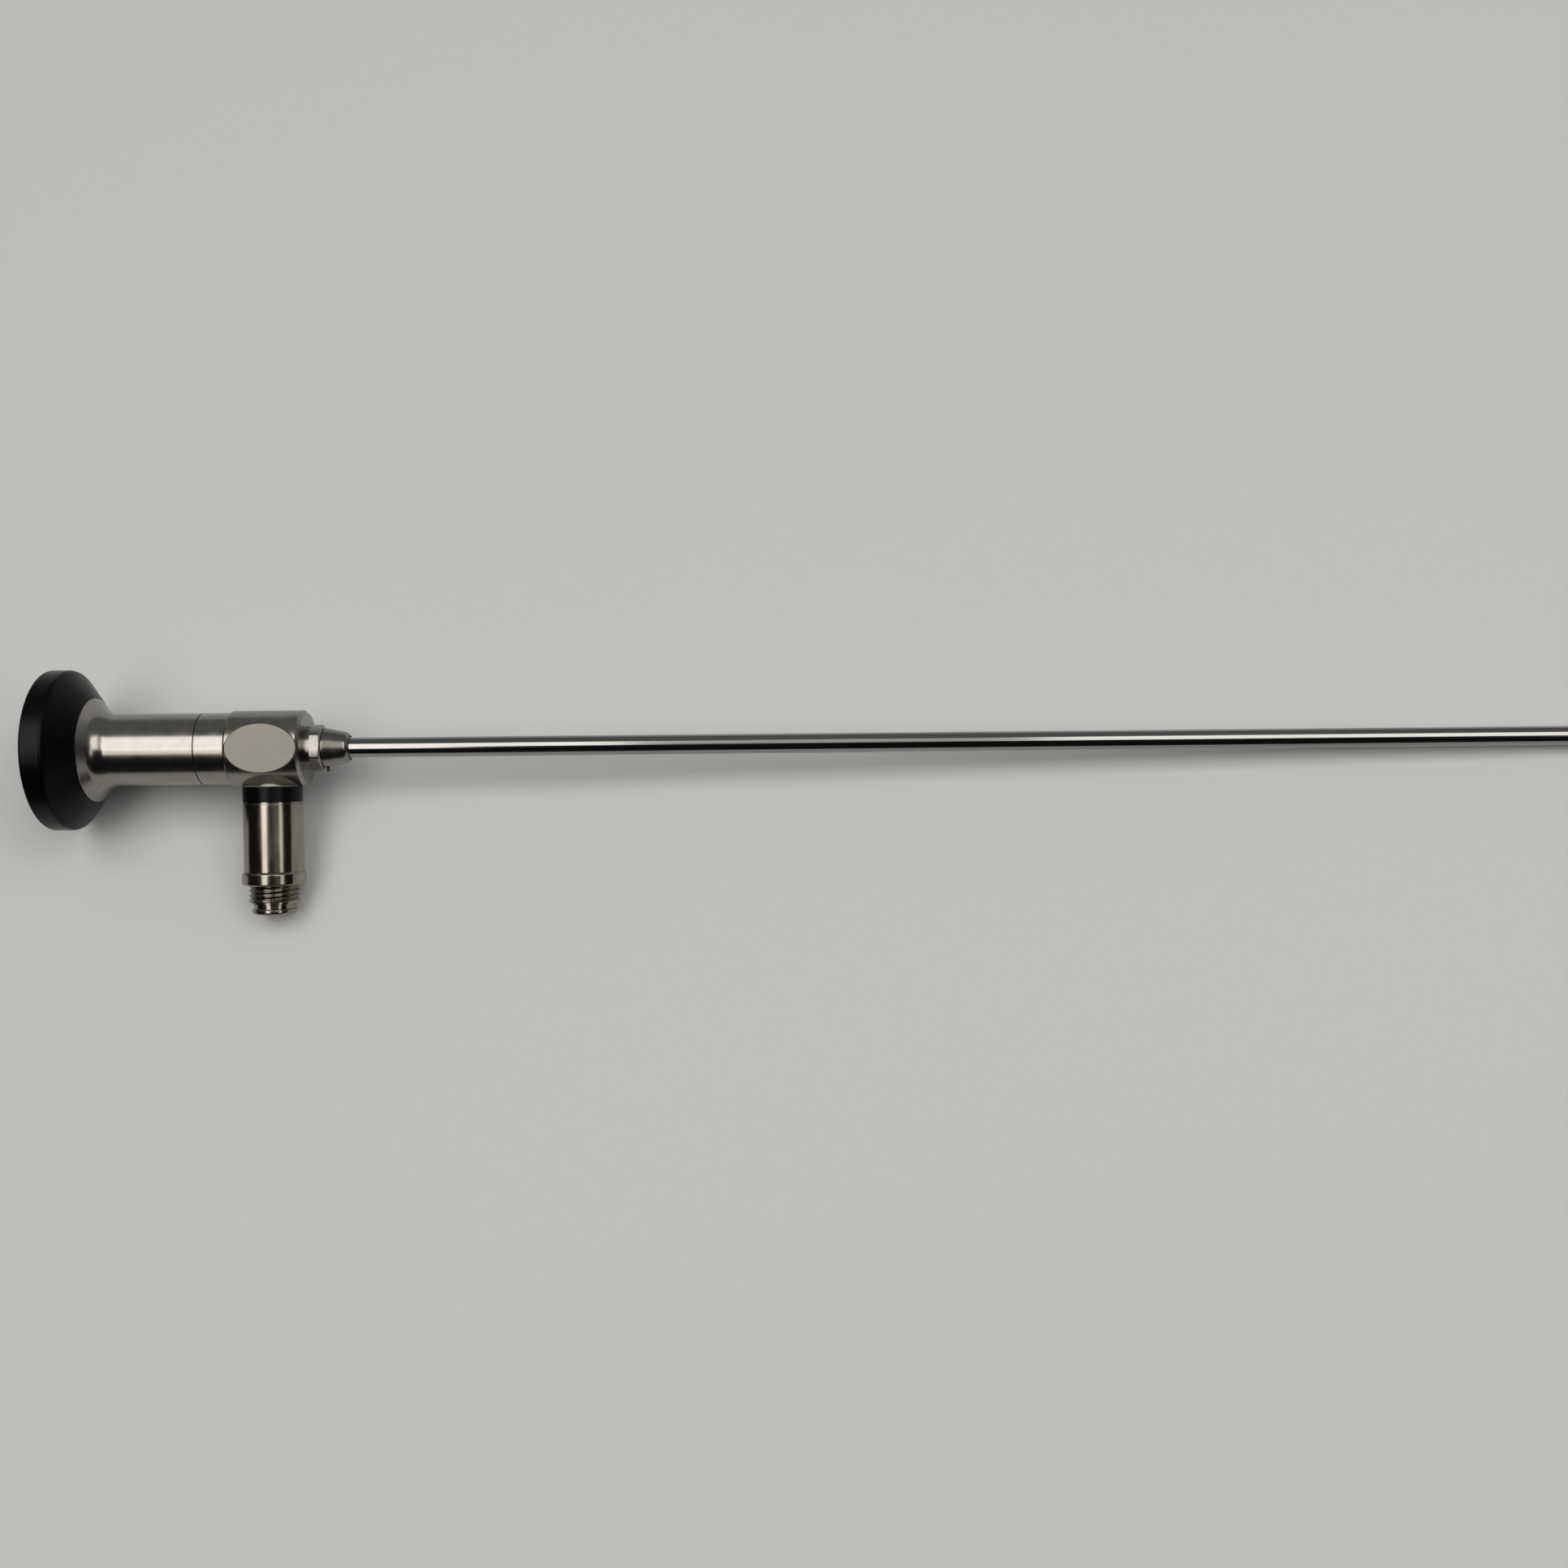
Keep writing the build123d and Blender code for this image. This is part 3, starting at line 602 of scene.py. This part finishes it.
round_rings(nipple, [
    (THREAD_START, COLLAR_R, COLLAR_END_EASE), (COLLAR_START, COLLAR_R, COLLAR_START_EASE),
    (LIP_END, LIP_R, LIP_END_EASE), (LIP_START, LIP_R, LIP_START_EASE),
])
finished("post_screw_end", down_post(nipple), nickel_plate, "nickel_plate", "post_nipple")
sleeve = turned([
    (SLEEVE_START, BASE_R), (SLEEVE_START, POST_R), (SLEEVE_END, POST_R), (SLEEVE_END, NIPPLE_R),
    (NIPPLE_START, NIPPLE_R), (NIPPLE_START, BASE_R),
], POST_STEPS)
round_rings(sleeve, [(SLEEVE_START, POST_R, SLEEVE_START_EASE), (SLEEVE_END, POST_R, SLEEVE_END_EASE)])
finished("post_sleeve_shell", down_post(sleeve), nickel_plate, "nickel_plate", "post_sleeve")


# The black insulating ring keeps the light cable's current from the body. It is moulded, and slips over
# the post's root, a tube soldered into the block. The photograph hides the root. Its pale matt finish is a
# guess, which brings the block's reflection of it near the photograph's brightness.
INSULATOR_TOP = 7.54
INSULATOR_R = 5.74
INSULATOR_END = 10.7
INSULATOR_EASE = 0.08
ROOT_TOP = 5.9
ROOT_NECK_R = 2.6
SEAT_DOWN = 7.5
SEAL_R = 5.62
insulator = turned([
    (INSULATOR_TOP, BASE_R), (INSULATOR_TOP, INSULATOR_R), (INSULATOR_END, INSULATOR_R), (INSULATOR_END, BASE_R),
], POST_STEPS)
round_rings(insulator, [(end, INSULATOR_R, INSULATOR_EASE) for end in (INSULATOR_TOP, INSULATOR_END)], 2)
finished("post_insulator", down_post(insulator), black_plastic, "black_plastic", "insulating_ring")
root = turned([
    (ROOT_TOP, FERRULE_R), (ROOT_TOP, ROOT_NECK_R), (SEAT_DOWN, ROOT_NECK_R), (SEAT_DOWN, SEAL_R),
    (INSULATOR_TOP, SEAL_R), (INSULATOR_TOP, BASE_R), (BASE_END, BASE_R), (BASE_END, FERRULE_R),
], POST_STEPS)
matt_seal = dull("matt_seal", low=(0.62, 0.60, 0.56), high=(0.70, 0.68, 0.64), rough=(0.6, 0.7))
finished("post_root", down_post(root), matt_seal, "tube_steel", "post_base")


# A dark spot shows at the root of the cone. It is guessed to be an index pin, which turns a sheath the right way
# round.
# Its black finish is painted shade that matches the spot, the pin in its own shadow, and it is 0.03 mm over the CAD's
# radius.
PIN_X = 53.45
PIN_R = 0.28
PIN_ROOT = 3.0
PIN_REACH = 4.75
PIN_STEPS = 24
black_anodised = dull("black_anodised", low=(0.015, 0.015, 0.017), high=(0.03, 0.03, 0.034), rough=(0.45, 0.6),
                      metallic=0.6)
pin = turned([(PIN_ROOT, 0), (PIN_ROOT, PIN_R), (PIN_REACH, PIN_R), (PIN_REACH, 0)], PIN_STEPS)
# On the pin, the black anodised finish is painted shade.
finished("dark_pin", down_post(pin, PIN_X), black_anodised, "black_anodised", "index_pin")


# The lens train, its cells and spacers, and the light fibres lie inside and keep the solids' shapes.
# Cells are black anodised so that they throw no stray light; the fibre ends are polished glass.
GLASS_WHITE = (0.97, 0.98, 0.99)
GLASS_SMEARS = 0.8
GLASS_ROUGHNESS = 0.03
tube_steel = metal("tube_steel", dark=(0.50, 0.50, 0.49), light=(0.60, 0.60, 0.59), rough=(0.25, 0.35),
                   cloud=1.0, grain=9.0, grain_depth=0.003)
fibre_glass = dull("fibre_glass", low=(0.55, 0.53, 0.46), high=(0.75, 0.73, 0.66), rough=(0.2, 0.3))


def glass(name, tint, refraction):
    material, nodes, links, shader = new_material(name)
    smear = noise(nodes, links, instrument_space(nodes), GLASS_SMEARS)
    links.new(spread(nodes, links, smear, 0.0, GLASS_ROUGHNESS), shader.inputs["Roughness"])
    links.new(between(nodes, links, smear, tint, GLASS_WHITE), shader.inputs["Base Color"])
    shader.inputs["Transmission Weight"].default_value = 1.0
    shader.inputs["IOR"].default_value = refraction
    return material


finishes = {
    "satin_steel": satin_steel,
    "blasted_steel": blasted_steel,
    "polished_steel": polished_steel,
    "nickel_plate": nickel_plate,
    "badge_steel": badge_steel,
    "tube_steel": tube_steel,
    "black_plastic": black_plastic,
    "black_anodised": black_anodised,
    "optical_glass": glass("optical_glass", tint=(0.93, 0.96, 0.97), refraction=1.6),
    "sapphire": glass("sapphire", tint=(0.93, 0.95, 0.98), refraction=1.77),
    "fibre_glass": fibre_glass,
}
for subpart in frame["record"]["subparts"]:
    node = frame["nodes"][subpart["node"]]
    node.data.materials.clear()
    node.data.materials.append(finishes[subpart["material_slot"]])
